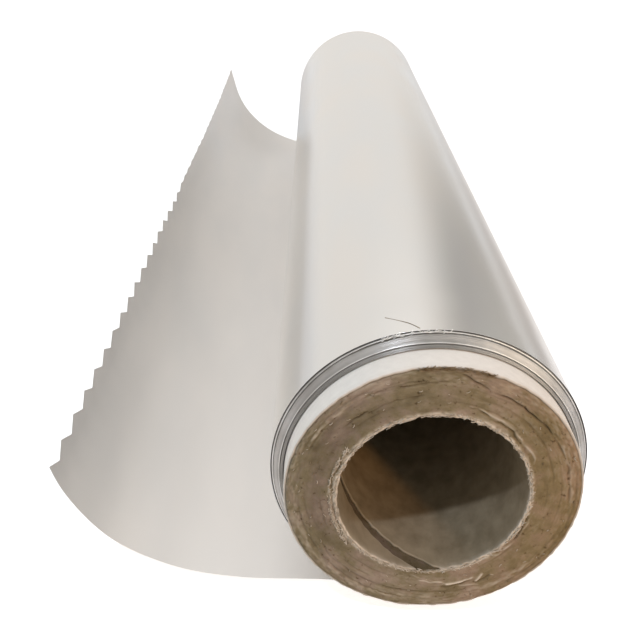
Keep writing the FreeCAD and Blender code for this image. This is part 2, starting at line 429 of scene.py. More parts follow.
def peeled(tree):
    """Object coordinates with the round of the core laid along a ring of its mean radius, so that
    a pattern can be stretched round the core without a seam."""
    mean_radius = 20.0 * MM
    place = add(tree, "ShaderNodeTexCoord").outputs["Object"]
    flat = add(tree, "ShaderNodeVectorMath", {"operation": "MULTIPLY"}, i0=place, i1=(1.0, 0.0, 1.0))
    radius = add(tree, "ShaderNodeVectorMath", {"operation": "LENGTH"}, i0=flat)
    outward = add(tree, "ShaderNodeVectorMath", {"operation": "NORMALIZE"}, i0=flat)
    ring = add(tree, "ShaderNodeVectorMath", {"operation": "SCALE"}, i0=outward, Scale=mean_radius)
    depth = add(tree, "ShaderNodeSeparateXYZ", Vector=place)
    reach = add(tree, *PLUS, i0=radius.outputs["Value"], i1=depth.outputs["Y"])
    lift = add(tree, "ShaderNodeCombineXYZ", Y=reach)
    return add(tree, "ShaderNodeVectorMath", {"operation": "ADD"}, i0=ring, i1=lift)


def board_look():
    """Grey-brown core board, sawn across its plies. The cut end shows thin rings of ply, torn
    fibres and pinkish and olive blotches. An attribute paints shade into splits and pales frayed
    edges."""
    look, tree, shader = material("sawn_core_board")
    place = peeled(tree)
    # Rings of ply about 1.1 mm deep, which change every 7 mm round the core
    streaks = add(tree, "ShaderNodeMapping", Vector=place, Scale=(0.15 / MM, 0.9 / MM, 0.15 / MM))
    plies = add(tree, NOISE, Vector=streaks, Scale=1.0, Detail=2.0, Roughness=0.5)
    # Blotches of about 6 mm, specks of 0.45 mm and pits of 0.9 mm. The real fibres are as thin as
    # 0.03 mm, and are drawn as clumps this coarse to show
    blotch = add(tree, NOISE, Vector=place, Scale=0.17 / MM, Detail=5.0, Roughness=0.62)
    specks = add(tree, NOISE, Vector=place, Scale=2.2 / MM, Detail=2.0)
    crumbs = add(tree, NOISE, Vector=place, Scale=1.1 / MM, Detail=3.0, Roughness=0.6)
    ground = add(tree, RAMP, Fac=blotch, stops=[
        (0.32, "736A54"), (0.43, "837A63"), (0.51, "8D8271"), (0.59, "94867A"),
        (0.70, "A4988A")])
    shade = add(tree, RAMP, stops=[(0.3, "DFDBD5"), (0.45, "F8F6F3"), (0.65, "FFFFFF")], Fac=plies)
    layered = add(tree, *MULTIPLIED, i0=0.45, i6=ground, i7=shade)
    pitted = add(tree, RAMP, stops=[(0.28, "9C8F7E"), (0.37, "F8F6F3"), (0.66, "FFFFFF")], Fac=crumbs)
    varied_tone = add(tree, *MULTIPLIED, i0=0.9, i6=layered.outputs[2], i7=pitted)
    # The board is cooler towards -X and warmer towards +X
    side = add(tree, "ShaderNodeSeparateXYZ", Vector=add(tree, "ShaderNodeTexCoord").outputs["Object"])
    across = add(tree, SPAN, Value=side.outputs["X"], From_Min=-BODY_R * MM, From_Max=BODY_R * MM)
    warmer_towards_plus_x = add(tree, RAMP, stops=[(0.0, "EDEEEB"), (0.45, "FAF7F2"), (1.0, "FFEFD2")], Fac=across)
    mixed = add(tree, *MULTIPLIED, i0=1.0, i6=varied_tone.outputs[2], i7=warmer_towards_plus_x)
    # Tone below 0 is painted shade in splits, partings of plies, the hollow and the open seam; above 0 it
    # pales frayed pulp
    tone = add(tree, "ShaderNodeAttribute", {"attribute_name": "tone"}).outputs["Fac"]
    dark = add(tree, SPAN, Value=tone, From_Min=0.0, From_Max=-1.0)
    pale = add(tree, SPAN, Value=tone, From_Min=0.0, From_Max=1.0)
    darker = add(tree, *MIXED, i0=dark, i6=mixed.outputs[2], i7=linear("3B2E20"))
    paler = add(tree, *MIXED, i0=pale, i6=darker.outputs[2], i7=linear("D2C8B8"))
    height = add(tree, *TIMES_PLUS, i0=plies, i1=0.45, i2=specks)
    relief = add(tree, "ShaderNodeBump", Strength=0.5, Distance=0.22 * MM, Height=height)
    feed(tree, shader, Base_Color=paler.outputs[2], Roughness=0.9, Specular_IOR_Level=0.2, Normal=relief)
    return look


def facing_look():
    """White kraft paper, calendered: the smooth pale outer ply, with faint fibres and scuffs."""
    look, tree, shader = material("white_kraft_paper")
    place = peeled(tree)
    # Clumps of fibre of about 1.1 mm. Single fibres are finer, and are drawn this coarse to show
    clumps = add(tree, NOISE, Vector=place, Scale=0.9 / MM, Detail=4.0)
    tint = add(tree, RAMP, stops=[(0.3, "EEEBE4"), (0.7, "F5F2EB")], Fac=clumps)
    tone = add(tree, "ShaderNodeAttribute", {"attribute_name": "tone"}).outputs["Fac"]
    sawn = add(tree, *MIXED, i0=tone, i6=tint, i7=linear("8F8370"))
    relief = add(tree, "ShaderNodeBump", Strength=0.3, Distance=0.05 * MM, Height=clumps)
    feed(tree, shader, Base_Color=sawn.outputs[2], Roughness=0.55, Specular_IOR_Level=0.35, Normal=relief)
    return look


def liner_look():
    """Unbleached grey-brown liner paper: dull, with flecks, and paler where its edge is frayed."""
    look, tree, shader = material("grey_brown_liner_paper")
    place = peeled(tree)
    # Cloudy patches of about 4 mm, with ever finer flecks inside them
    flecks = add(tree, NOISE, Vector=place, Scale=0.26 / MM, Detail=6.0, Roughness=0.55)
    ground = add(tree, RAMP, stops=[(0.30, "7C705A"), (0.50, "8A7E68"), (0.70, "978B74")], Fac=flecks)
    tone = add(tree, "ShaderNodeAttribute", {"attribute_name": "tone"}).outputs["Fac"]
    paler = add(tree, *MIXED, i0=tone, i6=ground, i7=linear("D0C6B6"))
    relief = add(tree, "ShaderNodeBump", Strength=0.15, Distance=0.08 * MM, Height=flecks)
    feed(tree, shader, Base_Color=paler.outputs[2], Roughness=0.85, Specular_IOR_Level=0.25,
         Normal=relief)
    return look


def curl_section(flat, radii, lip, shares):
    """Points and headings of the loose end at one edge, at each share of its course, from the
    bottom of the roll to the free edge. A share counts stretches: flat, the arcs, then the lip."""
    places = [(0.0, -ROLL_R)]
    angles = [0.0]
    places.append((-flat, -ROLL_R))
    angles.append(0.0)
    for radius, degrees in zip(radii, HEADINGS_DEG):
        turned = math.radians(degrees)
        x, z = places[-1]
        places.append((x - radius * (math.sin(turned) - math.sin(angles[-1])),
                       z + radius * (math.cos(angles[-1]) - math.cos(turned))))
        angles.append(turned)
    x, z = places[-1]
    places.append((x - lip * math.cos(angles[-1]), z + lip * math.sin(angles[-1])))
    angles.append(angles[-1])
    bends = [None, *radii, None]
    course = []
    for share in shares:
        index = min(int(share), len(bends) - 1)
        part = share - index
        (x, z), start, end = places[index], angles[index], angles[index + 1]
        if bends[index] is None:
            far_x, far_z = places[index + 1]
            course.append((x + part * (far_x - x), z + part * (far_z - z), start))
        else:
            heading = start + part * (end - start)
            course.append((x - bends[index] * (math.sin(heading) - math.sin(start)),
                           z + bends[index] * (math.cos(start) - math.cos(heading)), heading))
    return np.array(course)


def torn_edge():
    """Tips and valleys along the torn edge: runs from the near corner, and depths inside the line
    between the corners."""
    draw = np.random.default_rng(SEED_TEETH)
    count = int(2.0 * FOIL_WIDTH / TOOTH_PITCH)
    runs, depths = [0.0], [0.0]
    for index in range(1, count):
        run = (index + draw.uniform(-0.1, 0.1)) * TOOTH_PITCH / 2.0
        fade = float(smooth(run, TOOTH_FULL_RUN, TOOTH_FULL_RUN + TOOTH_FADE_RUN))
        full = TOOTH_DEPTH + (TOOTH_DEPTH_FAR - TOOTH_DEPTH) * fade
        bowed = min(max((run - EDGE_STRAIGHT) / (FOIL_WIDTH - EDGE_STRAIGHT), 0.0), 1.0)
        bow = EDGE_BOW * math.sin(math.pi * bowed)
        runs.append(run)
        depths.append((full if index % 2 else 0.0) + draw.uniform(-TOOTH_STRAY, TOOTH_STRAY) + bow)
    return np.array(runs + [FOIL_WIDTH]), np.array(depths + [0.0])


def outermost_turn(y, v):
    """Outermost turn: its points, its outward normals and the length of foil back to its start. It is
    softly dented, and a faint crease runs along part of the roll."""
    # Ten more rows of points carry the crease
    crease_turn = (270.0 - CREASE_DEG) / 360.0
    crease_rows = crease_turn + np.linspace(-0.0045, 0.0045, 10)
    turn = np.sort(np.concatenate([np.linspace(0.0, 1.0, 121), crease_rows]))[:, None]
    angle = -math.pi / 2.0 - 2.0 * math.pi * turn
    spiral = ROLL_R - TURN_DROP * FOIL_THICK * (1.0 - turn)
    turn_v = np.broadcast_to(v[None, :], (len(turn), len(v)))
    turn_u = np.broadcast_to(turn, turn_v.shape)
    # The dents fade out at both ends of the turn and of the roll
    ease = smooth(turn_u, 0.0, 0.1) * (1.0 - smooth(turn_u, 0.9, 1.0))
    ease = ease * smooth(FOIL_WIDTH / 2.0 - np.abs(y), 5.0, 16.0)
    sway = sum(depth * cloud(turn_u, turn_v, around, along, SEED_ROLL + k)
               for k, (depth, around, along) in enumerate(DENTS))
    crease = np.exp(-((turn_u - crease_turn - 0.0012 * np.sin(y * 0.05)) / 0.0007) ** 2)
    crease = crease * smooth(y, *CREASE_FADES_IN) * (1.0 - smooth(y, *CREASE_FADES_OUT))
    radius = spiral - SKIN_GAP + ease * (sway - DENT_SINK) + CREASE_HEIGHT * crease
    points = np.stack([radius * np.cos(angle), np.broadcast_to(y[None, :], radius.shape),
                       radius * np.sin(angle)], -1)
    normals = np.stack([np.cos(angle) + 0.0 * radius, 0.0 * radius, np.sin(angle) + 0.0 * radius], -1)
    return points, normals, 2.0 * math.pi * ROLL_R * (turn_u - 1.0)


def loose_end(y, v, run, stations, depths):
    """Loose end: its points on the outer face, the normals of its inner face and the length of foil
    from the roll. It is softly waved, and its near edge stands a little off the table."""
    # Rows of points along the flat run, the three arcs and the lip, which ends at the torn edge
    flat_rows = np.linspace(0.0, 1.0, 12)[1:]
    arc_rows = np.linspace(1.0, 4.0, 46)[1:]
    lip_rows = 4.0 + np.linspace(0.0, 0.985, 9)[1:]
    steps = np.concatenate([flat_rows, arc_rows, lip_rows, [5.0]])
    near = curl_section(NEAR_FLAT, NEAR_RADII, NEAR_LIP, steps)
    far = curl_section(FAR_FLAT, FAR_RADII, FAR_LIP, steps)
    mixed = near[:, None, :] * (1.0 - v[None, :, None]) + far[:, None, :] * v[None, :, None]
    points = np.stack([mixed[..., 0], np.broadcast_to(y[None, :], mixed.shape[:2]), mixed[..., 1]], -1)
    heading = mixed[..., 2]
    inward = np.stack([np.sin(heading), 0.0 * heading, np.cos(heading)], -1)
    outward = np.stack([-np.cos(heading), 0.0 * heading, np.sin(heading)], -1)
    stretches = np.linalg.norm(np.diff(points, axis=0), axis=2)
    course = np.concatenate([np.zeros((1, len(y))), np.cumsum(stretches, axis=0)])
    inset = np.interp(run, stations, depths)
    pull = smooth(course, course[-1:] - TOOTH_REACH, course[-1:]) * inset[None, :]
    points = points - outward * pull[..., None]
    # Waves, which grow towards the torn edge, and how far the near edge stands off the table: it
    # rises near the roll and comes back down in steps
    share = course / course[-1:]
    wave = 0.35 * cloud(0.5 * share + 0.25, v + 0.0 * share, 4, 5, SEED_SHEET)
    wave += 0.12 * cloud(0.5 * share + 0.25, v + 0.0 * share, 9, 14, SEED_SHEET + 1)
    raised = EDGE_LIFT * smooth(share, 0.03, 0.2) - 0.5 * smooth(share, 0.40, 0.6)
    raised = raised - 0.75 * smooth(share, 0.6, 0.78) - 0.45 * smooth(share, 0.84, 1.0)
    raised = raised * (1.0 - smooth(v, 0.0, 0.5))
    points = points + inward * (wave * smooth(share, 0.30, 0.75) + raised)[..., None]
    return points, inward, course


def foil_sheet(look, inner_look):
    """Outermost turn and loose end of the foil, one thin sheet with a torn, toothed edge."""
    stations, depths = torn_edge()
    # Two more columns of points stand between each tip and the next valley
    between = [stations[:-1] * (1.0 - part) + stations[1:] * part for part in (1.0 / 3.0, 2.0 / 3.0)]
    run = np.sort(np.concatenate([stations, *between, [CORNER_COLUMN, FOIL_WIDTH - CORNER_COLUMN]]))
    columns = len(run)
    v = run / FOIL_WIDTH
    y = NEAR_Y + FOIL_WIDTH * v
    wound, normals, wound_length = outermost_turn(y, v)
    loose, inward, course = loose_end(y, v, run, stations, depths)
    outer = np.concatenate([wound, loose])
    inner = outer + np.concatenate([-normals, inward]) * FOIL_THICK
    outer_length = np.concatenate([wound_length, course + 0.5])
    uv = np.stack([outer_length, np.broadcast_to(y[None, :], outer_length.shape)], -1)
    section = np.concatenate([outer, inner[::-1]])
    made = shell("foil", section, True, False, look, np.concatenate([uv, uv[::-1]]))
    made.data.materials.append(inner_look)
    for face in made.data.polygons[len(outer) * (columns - 1):]:
        face.material_index = 1
    # The narrow faces at the foil's start and at its torn edge are flat. Strips close its two sides
    for row in (len(outer) - 1, len(section) - 1):
        for face in made.data.polygons[row * (columns - 1):(row + 1) * (columns - 1)]:
            face.use_smooth = False
    work = bmesh.new()
    work.from_mesh(made.data)
    work.verts.ensure_lookup_table()
    total = len(section)
    for side in (0, columns - 1):
        for i in range(len(outer) - 1):
            ring = [i, i + 1, total - 2 - i, total - 1 - i]
            work.faces.new([work.verts[k * columns + side] for k in ring])
    bmesh.ops.recalc_face_normals(work, faces=work.faces)
    work.to_mesh(made.data)
    work.free()
    return made


def geometry_tree(name, numbers, others):
    """Empty tree of geometry nodes, and the inputs that it is given: numbers, then others with kinds."""
    tree = bpy.data.node_groups.new(name, "GeometryNodeTree")
    for socket, kind in (*[(number, "Float") for number in numbers], *others):
        tree.interface.new_socket(socket, in_out="INPUT", socket_type="NodeSocket" + kind)
    tree.interface.new_socket("Geometry", in_out="OUTPUT", socket_type="NodeSocketGeometry")
    return tree, add(tree, "NodeGroupInput").outputs


def turns_tree(look):
    """Nodes that wind a thin strip into a spiral whose turns stand out by a drawn profile."""
    tree, given = geometry_tree(
        "wound_turns", ("Rotations", "Outer radius", "Inner radius", "Stand out", "Strip depth", "Unevenness",
                        "End place", "Facing turn"), (("Seed", "Int"),))
    spiral = add(tree, "GeometryNodeCurveSpiral", Resolution=110, Rotations=given["Rotations"],
                 Start_Radius=given["Outer radius"], End_Radius=given["Inner radius"], Height=0.0)
    place = add(tree, "GeometryNodeInputPosition")
    radius = add(tree, "ShaderNodeVectorMath", {"operation": "LENGTH"}, i0=place).outputs["Value"]
    share = add(tree, SPAN, Value=radius, From_Min=given["Outer radius"], From_Max=given["Inner radius"])
    # How far the turns stand out, by the share of the way inwards: slopes of turns with grooves between
    profile = add(tree, "ShaderNodeFloatCurve", Value=share)
    points = profile.mapping.curves[0].points
    for inwards, height in ((0.02, 0.00), (0.07, 0.03), (0.15, 0.12), (0.155, -0.12), (0.20, -0.12),
                            (0.21, 0.21), (0.60, 0.60), (0.66, 0.70), (0.665, 0.30), (0.73, 0.30),
                            (0.74, 0.74), (0.93, 0.93), (0.935, 0.55)):
        points.new(inwards, height)
    points[0].location = (0.0, 0.0)
    points[len(points) - 1].location = (1.0, 0.55)
    for point in points:
        point.handle_type = "VECTOR"
    profile.mapping.use_clip = False
    profile.mapping.update()
    raised = add(tree, *TIMES, i0=profile, i1=given["Stand out"])
    number = add(tree, *TIMES, i0=share, i1=given["Rotations"])
    whole = add(tree, "ShaderNodeMath", {"operation": "FLOOR"}, i0=number)
    chance = add(tree, "FunctionNodeRandomValue", {"data_type": "FLOAT"}, i2=-1.0, i3=1.0,
                 ID=whole, Seed=given["Seed"])
    # Along a turn, its edge strays in and out about every 17 mm
    drift = add(tree, NOISE, {"noise_dimensions": "4D"}, Vector=place, W=number,
                Scale=0.06 / MM, Detail=2.0)
    centred = add(tree, *MINUS, i0=drift, i1=0.5)
    both = add(tree, *TIMES_PLUS, i0=chance.outputs[1], i1=0.6, i2=centred)
    uneven = add(tree, *TIMES, i0=both, i1=given["Unevenness"])
    stand = add(tree, *PLUS, i0=raised, i1=uneven)
    sunk = add(tree, *TIMES_PLUS, i0=given["Strip depth"], i1=-0.5, i2=stand)
    offset = add(tree, "ShaderNodeCombineXYZ", Z=sunk)
    wound = add(tree, "GeometryNodeSetPosition", Geometry=spiral, Offset=offset)
    upright = add(tree, "GeometryNodeSetCurveNormal", {"mode": "Z_UP"}, Curve=wound)
    span = add(tree, *MINUS, i0=given["Outer radius"], i1=given["Inner radius"])
    pitch = add(tree, "ShaderNodeMath", {"operation": "DIVIDE"}, i0=span, i1=given["Rotations"])
    # The strip is a little thinner than the pitch of its turns, so that they don't touch
    half = add(tree, *TIMES, i0=pitch, i1=0.47)
    other = add(tree, *TIMES, i0=half, i1=-1.0)
    rise = add(tree, "ShaderNodeMath", {"operation": "DIVIDE"}, i0=given["Stand out"], i1=given["Rotations"])
    top = add(tree, *TIMES, i0=given["Strip depth"], i1=0.5)
    under = add(tree, *TIMES, i0=given["Strip depth"], i1=-0.5)
    high = add(tree, *TIMES_PLUS, i0=rise, i1=-0.5, i2=under)
    dropped = add(tree, *TIMES_PLUS, i0=rise, i1=0.5, i2=under)
    corners = [add(tree, "ShaderNodeCombineXYZ", X=x, Y=z)
               for x, z in ((half, high), (other, dropped), (other, top), (half, top))]
    outline = add(tree, "GeometryNodeCurvePrimitiveQuadrilateral", {"mode": "POINTS"},
                  Point_1=corners[0], Point_2=corners[1], Point_3=corners[2], Point_4=corners[3])
    band = add(tree, "GeometryNodeCurveToMesh", Curve=upright, Profile_Curve=outline, Fill_Caps=True)
    turned = add(tree, "ShaderNodeCombineXYZ", X=given["Facing turn"])
    moved = add(tree, "ShaderNodeCombineXYZ", Y=given["End place"])
    set_up = add(tree, "GeometryNodeTransform", Geometry=band, Rotation=turned, Translation=moved)
    whole_geometry = add(tree, "GeometryNodeRealizeInstances", Geometry=set_up)
    painted = add(tree, "GeometryNodeSetMaterial", Geometry=whole_geometry, Material=look)
    add(tree, "NodeGroupOutput", Geometry=painted)
    return tree


def settled(name, carrier):
    """Plain mesh object in place of a carrier that nodes or a curve give its shape."""
    mesh = bpy.data.meshes.new_from_object(carrier.evaluated_get(bpy.context.evaluated_depsgraph_get()))
    bpy.data.objects.remove(carrier)
    mesh.name = name
    return placed(name, mesh)


def grown(name, tree, values):
    """Plain mesh that a tree of nodes makes with these inputs."""
    seed_mesh = bpy.data.meshes.new(name + "_seed")
    carrier = placed(name + "_carrier", seed_mesh)
    modifier = carrier.modifiers.new("nodes", "NODES")
    modifier.node_group = tree
    identifiers = {item.name: item.identifier for item in tree.interface.items_tree
                   if item.item_type == "SOCKET" and item.in_out == "INPUT"}
    for key, value in values.items():
        modifier[identifiers[key]] = value
    made = settled(name, carrier)
    bpy.data.meshes.remove(seed_mesh)
    return made


def end_turns(tree, name, end_y, facing, stand_out, seed):
    """Edges of the wound turns at one end of the roll."""
    made = grown(name, tree, {
        "Rotations": TURNS, "Outer radius": (ROLL_R - TURNS_OUTER_GAP) * MM,
        "Inner radius": (FACING_R + TURNS_INNER_GAP) * MM, "Stand out": stand_out * MM,
        "Strip depth": TURNS_DEPTH * MM, "Unevenness": TURNS_UNEVEN * MM,
        "End place": end_y * MM, "Facing turn": facing, "Seed": seed})
    close(made)
    return made


def ring_relief(radius, angle, seed):
    """Height in millimetres and tone of a sawn ply face, by radius and angle: plies that part here and
    there, a torn outer band and a frayed lip. Tone goes from -1, painted shade in a split, to 1,
    pale pulp."""
    u = (angle / (2.0 * math.pi)) % 1.0
    v = np.clip((radius - LINER_R) / (BODY_R - LINER_R), 0.0, 1.0)
    # Each layer of noise has its strength, then its number of cells round and across the face
    torn = smooth(radius, 21.4, 22.8)
    height = 0.05 * cloud(u, v, 31, 7, seed) + (0.03 + 0.05 * torn) * cloud(u, v, 110, 16, seed + 1)
    height += (0.03 + 0.04 * torn) * cloud(u, v, 250, 34, seed + 2)
    tone = 0.10 * cloud(u, v, 13, 4, seed + 3) + 0.07 * cloud(u, v, 70, 12, seed + 4)
    tone += (0.06 + 0.10 * torn) * cloud(u, v, 210, 30, seed + 5)
    # Where two plies part: a shallow groove, painted darker as shade in it
    for index, ring in enumerate(PLY_RADII):
        wander = ring + 0.25 * cloud(u, 0.0 * v, 7, 1, seed + 10 + index)
        wander += 0.08 * cloud(u, 0.0 * v, 80, 1, seed + 20 + index)
        strength = smooth(cloud(u, 0.0 * v, 17, 1, seed + 30 + index), 0.0, 0.8)
        line = np.exp(-((radius - wander) / PLY_LINE) ** 2) * strength
        height -= 0.10 * line
        tone -= 0.26 * line
    lip = np.exp(-((radius - LINER_R) / 0.42) ** 2) * (0.75 + 0.7 * cloud(u, v, 190, 26, seed + 40))
    height += 0.16 * lip
    tone += 0.85 * lip
    edge = smooth(radius, BODY_R - 0.4, BODY_R)
    height -= 0.12 * edge
    return height, tone


def face_marks(radius, angle, height, tone):
    """Splits, lifted plies and a torn flap that the near face shows, each an arc on the face. Sunken
    marks are painted darker, as shade in them, and raised ones paler.
    """
    degrees = np.degrees(angle)
    marks = (
        # Angles from +X towards +Z at its ends, radius at each, half width, height and tone
        (-6.0, 74.0, 22.5, 21.9, 0.15, -0.60, -0.8),
        (70.0, 84.0, 22.1, 24.1, 0.16, -0.45, -0.6),
        (-2.0, 68.0, 22.85, 22.3, 0.24, 0.14, 0.40),
        (20.0, 80.0, 17.5, 18.6, 0.20, 0.18, 0.60),
        (30.0, 79.0, 17.0, 18.1, 0.16, -0.40, -0.60),
        (-48.0, -12.0, 16.95, 16.85, 0.14, -0.60, -0.9),
        (-50.0, -8.0, 17.35, 17.25, 0.18, 0.16, 0.7),
        (152.0, 212.0, 17.0, 16.75, 0.12, -0.35, -0.65),
        (148.0, 216.0, 17.5, 17.2, 0.20, 0.22, 0.85),
        (-66.0, -56.0, 20.9, 20.4, 0.25, -0.40, -0.6),
        (-80.0, -64.0, 19.8, 19.4, 0.20, 0.30, 1.6),
        (-65.0, -59.0, 20.6, 19.5, 0.22, 0.30, 1.6),
        (-94.0, -80.0, 18.8, 19.2, 0.13, 0.08, 0.8),
        (-82.0, -66.0, 20.5, 20.2, 0.26, -0.30, -0.6),
        (118.0, 166.0, 22.6, 21.2, 0.70, -0.12, -0.42),
        (203.0, 242.0, 22.1, 21.9, 0.55, -0.05, -0.28),
        (232.0, 276.0, 22.7, 22.5, 0.80, 0.03, 0.26),
        (-100.0, -62.0, 17.4, 21.6, 0.16, 0.12, 0.5),
        (84.0, 128.0, 22.2, 22.6, 0.16, -0.30, -0.30),
        (95.0, 140.0, 19.9, 20.1, 0.16, -0.25, -0.40),
        (112.0, 158.0, 22.6, 23.2, 0.45, 0.10, 0.35),
        (196.0, 262.0, 23.3, 23.2, 0.40, 0.08, 0.22),
        (200.0, 300.0, 21.3, 21.6, 0.14, -0.18, -0.35),
        (-72.0, -20.0, 22.4, 22.9, 0.30, 0.10, 0.30),
    )
    for start, end, r_start, r_end, width, rise, paint in marks:
        middle = (start + end) / 2.0
        offset = (degrees - middle + 180.0) % 360.0 - 180.0
        share = offset / (end - start) + 0.5
        u = (degrees / 360.0) % 1.0
        # The mark wanders off its arc, fades at both ends and breaks up
        ragged = 0.18 * cloud(u, 0.0 * u, 120, 1, int(300 + start))
        ragged = ragged + 0.22 * cloud(u, 0.0 * u, 36, 1, int(500 + start))
        centre = r_start + (r_end - r_start) * share + ragged
        fade = smooth(share, 0.0, 0.12) * (1.0 - smooth(share, 0.88, 1.0))
        broken = 0.55 + 0.45 * cloud(u, 0.0 * u, 75, 1, int(700 + start))
        line = np.exp(-((radius - centre) / width) ** 2) * fade * broken
        height = height + rise * line
        tone = tone + paint * line
    # A shallow hollow on the left, painted darker as shade in it
    shaded_hollow = smooth(np.cos(np.radians(degrees - 160.0)), 0.2, 0.95) * np.exp(-((radius - 19.4) / 1.9) ** 2)
    return height - 0.15 * shaded_hollow, tone - 0.34 * shaded_hollow


def core_tube(look):
    """Brown body plies: both sawn faces, the outer wall and the wall behind the liner."""
    angle = np.linspace(0.0, 2.0 * math.pi, CORE_COLUMNS, endpoint=False)[None, :]
    radii = np.linspace(LINER_R, BODY_R, CORE_RINGS)[:, None]
    radius, turned = np.broadcast_arrays(radii, angle)
    near_height, near_tone = face_marks(radius, turned, *ring_relief(radius, turned, SEED_CORE_NEAR))
    far_height, far_tone = ring_relief(radius, turned, SEED_CORE_FAR)
    near_height, far_height = (np.clip(height, -DEEPEST_MARK, HIGHEST_MARK)
                               for height in (near_height, far_height))
    wall = np.linspace(CORE_NEAR_Y, CORE_FAR_Y, 9)[1:-1]
    mouths = np.concatenate([[CORE_NEAR_Y + WALL_SETBACK], wall, [CORE_FAR_Y - WALL_SETBACK]])
    outside = 0.0 * turned[:len(wall)]
    inside = 0.0 * turned[:len(mouths)]
    # Radius, place along the axis and tone of each stretch of the outline
    sections = [
        (radius, CORE_NEAR_Y - near_height, near_tone),
        (outside + BODY_R, outside + wall[:, None], outside),
        (radius[::-1], (CORE_FAR_Y + far_height)[::-1], far_tone[::-1]),
        (inside + LINER_R, inside + mouths[::-1, None], inside + SEAM_SHADE_TONE),
    ]
    r, y, tone = (np.concatenate([section[k] for section in sections]) for k in range(3))
    points = np.stack([r * np.cos(angle), y, r * np.sin(angle)], -1)
    made = shell("core_tube", points, True, True, look, tones={"tone": tone})
    close(made)
    return made


def core_facing(look):
    """White outer ply, with slightly uneven sawn edges."""
    angle = np.linspace(0.0, 2.0 * math.pi, CORE_COLUMNS, endpoint=False)[None, :]
    u = angle / (2.0 * math.pi)
    zero = 0.0 * u
    ragged = [0.12 * cloud(u, zero, 160, 1, seed) + 0.10 * cloud(u, zero, 40, 1, seed + 5)
              for seed in (SEED_FACING, SEED_FACING + 1)]
    near = CORE_NEAR_Y + FACING_SETBACK + ragged[0]
    far = CORE_FAR_Y - FACING_SETBACK + ragged[1]
    # Rows of points by their share of the length, closest at the rounded edges
    near_rows = [0.0, 0.001, 0.004, 0.012, 0.024, 0.2, 0.5]
    far_rows = [0.8, 0.976, 0.988, 0.996, 0.999, 1.0]
    shares = np.array(near_rows + far_rows)[:, None]
    rounding = 0.10 * (np.exp(-shares * 900.0) + np.exp(-(1.0 - shares) * 900.0))
    y = near * (1.0 - shares) + far * shares
    outer = FACING_R - rounding + 0.0 * angle
    inner = 0.0 * y + BODY_R
    edge = np.exp(-shares * 1500.0) + np.exp(-(1.0 - shares) * 1500.0) + 0.0 * y
    tone = np.concatenate([0.45 * edge, 0.0 * y + 1.0])
    r, y = np.concatenate([outer, inner[::-1]]), np.concatenate([y, y[::-1]])
    points = np.stack([r * np.cos(angle), y, r * np.sin(angle)], -1)
    made = shell("core_facing", points, True, True, look, tones={"tone": tone})
    close(made)
    return made


def core_liner(look):
    """Innermost ply: a strip wound in a right-handed helix with an open seam between its turns. It is
    frayed at the mouths of the core and paler near them round one side of the bore. Its edges along
    the seam are painted a little paler, a painted highlight."""
    step = math.radians(1.5)
    seam_start = math.radians(LINER_SEAM_DEG)
    lift = LINER_GAP / 2.0
    first = -(LINER_PITCH - lift) / LINER_PITCH * 2.0 * math.pi
    last = (CORE_LENGTH - lift) / LINER_PITCH * 2.0 * math.pi
    count = int((last - first) / step)
    wound = np.linspace(first, last, count)[:, None]
    seam_y = CORE_NEAR_Y + LINER_PITCH * wound / (2.0 * math.pi)
    angle = seam_start - wound
    draw = [cloud((wound / (last - first)) % 1.0, 0.0 * wound, 700, 1, SEED_LINER + k) for k in (0, 1)]
    low = np.maximum(seam_y + lift + 0.22 * draw[0], CORE_NEAR_Y)
    high = np.minimum(seam_y + LINER_PITCH - lift + 0.28 * draw[1], CORE_FAR_Y)
    high = np.maximum(high, low)
    # Points by their share of the way across the strip, closest at its edges
    across = np.concatenate([[0.0, 0.006, 0.02, 0.06], np.linspace(0.12, 0.88, 7), [0.94, 0.98, 0.994, 1.0]])
    y = low + (high - low) * across[None, :]
    turned = angle + 0.0 * y
    u = (turned / (2.0 * math.pi)) % 1.0
    at_mouth = np.minimum(y - CORE_NEAR_Y, CORE_FAR_Y - y)
    frayed = np.exp(-np.clip(at_mouth, 0.0, None) / FRAY_REACH)
    fuzz = frayed * (0.18 * cloud(u, 0.0 * u, 170, 1, SEED_LINER + 7) + 0.08)
    rim = np.where(y < 0.0, -1.0, 1.0)
    y = y + rim * fuzz
    tone = np.clip(frayed * (0.75 + 0.45 * cloud(u, 0.0 * u, 140, 1, SEED_LINER + 9)), 0.0, 1.0)
    # The strip's edges along the seam are painted a little paler: a painted highlight on their cut edges
    seam_edge = np.minimum(y - low, high - y)
    tone = np.clip(tone + 0.15 * np.exp(-np.clip(seam_edge, 0.0, None) / 0.15), 0.0, 1.0)
    # Paler near the mouths, round one side of the bore
    varied_tone = np.exp(-np.clip(at_mouth, 0.0, None) / PALE_PATCH_REACH)
    varied_tone = varied_tone * smooth(np.cos(turned - math.radians(PALE_PATCH_DEG)), 0.2, 0.9)
    tone = np.clip(tone + 0.16 * varied_tone, 0.0, 1.0)
    lip_lift = 0.14 * frayed * cloud(u, 0.0 * u, 130, 1, SEED_LINER + 11)
    inner, outer = BORE_R + 0.03 + lip_lift, LINER_R + 0.0 * y
    r = np.concatenate([inner, outer[:, ::-1]], 1)
    y, turned, tone = (np.concatenate([k, k[:, ::-1]], 1) for k in (y, turned, tone))
    points = np.stack([r * np.cos(turned), y, r * np.sin(turned)], -1)
    made = shell("core_liner", points, False, True, look, tones={"tone": tone})
    close(made, 2e-6)
    return made


